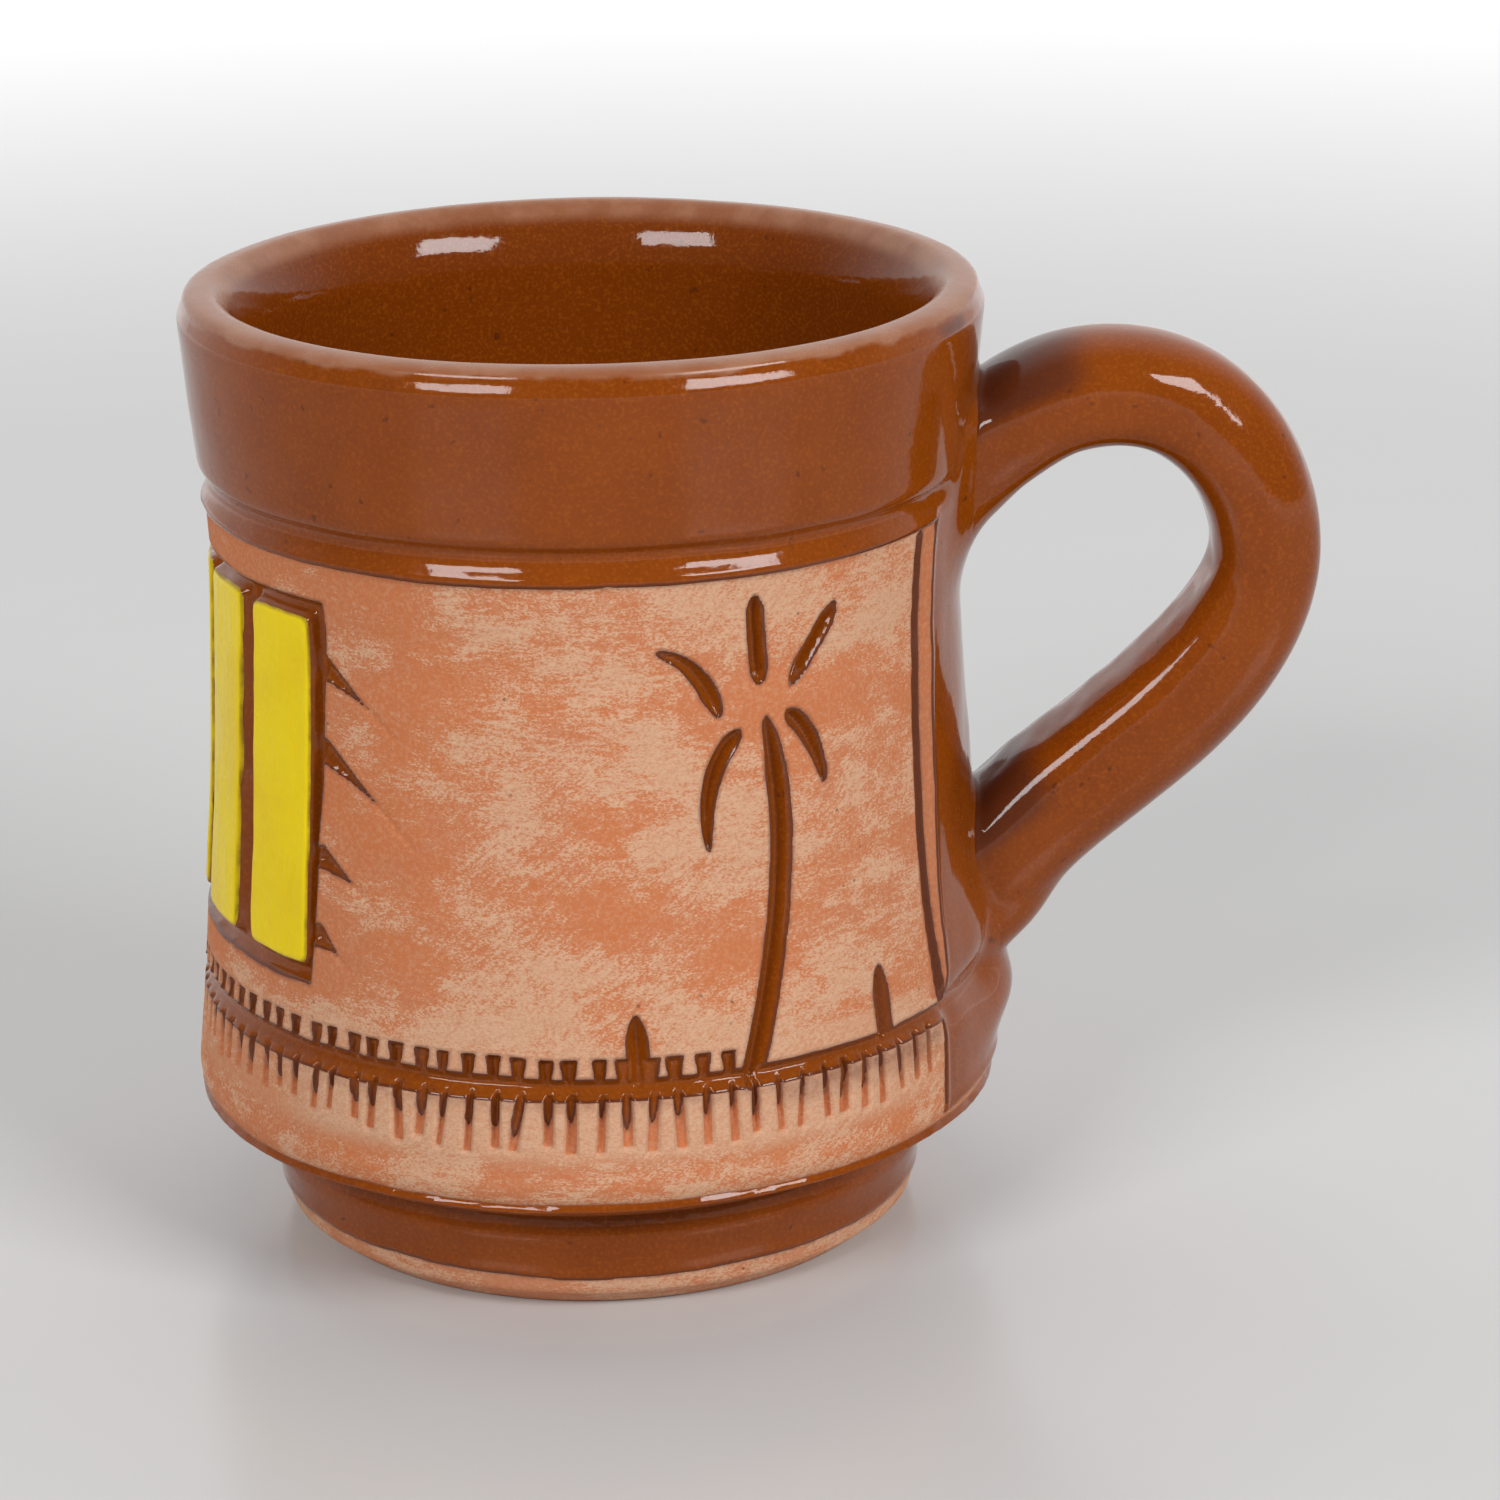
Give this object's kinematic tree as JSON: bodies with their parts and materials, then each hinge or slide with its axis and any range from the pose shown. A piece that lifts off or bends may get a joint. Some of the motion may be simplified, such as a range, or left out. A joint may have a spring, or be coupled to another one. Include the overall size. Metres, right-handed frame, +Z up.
{
  "type": "clay mug",
  "caption": "Hand-thrown terracotta mug with amber glazed rim, foot and inside, a luted ear handle, a carved palm and a frieze of yellow tiles on a bare clay wall.",
  "frame": {"origin": "centre of the flat underside of the foot, on the table", "axes": "+Z up along the axis of the pot, +X toward the handle, -Y toward the front with the palm"},
  "size_m": [0.1186, 0.0842, 0.1],
  "materials": {
    "bare_clay": "matte bare earthenware, wiped and brushed",
    "handle_glaze": "glossy amber-brown glaze over clay",
    "inside_glaze": "glossy brown glaze",
    "band_glaze": "glossy amber-brown glaze with darker edges",
    "pooled_glaze": "glossy brown glaze pooled in carved lines",
    "yellow_enamel": "satin brushed yellow enamel"
  },
  "bodies": {
    "root": {"thrown_body": "bare_clay", "handle_strap": "handle_glaze", "upper_clay_wad": "handle_glaze", "lower_clay_wad": "handle_glaze", "liner_glaze": "inside_glaze", "rim_band_glaze": "band_glaze", "foot_band_glaze": "band_glaze", "handle_panel_glaze": "band_glaze", "ground_ring_glaze": "pooled_glaze", "palm_trunk_glaze": "pooled_glaze", "palm_frond_glaze": "pooled_glaze", "grass_glaze": "pooled_glaze", "frame_line_glaze": "pooled_glaze", "frieze_border_glaze": "pooled_glaze", "hatch_tick_glaze": "pooled_glaze", "yellow_tile_enamel": "yellow_enamel"}
  },
  "joints": []
}
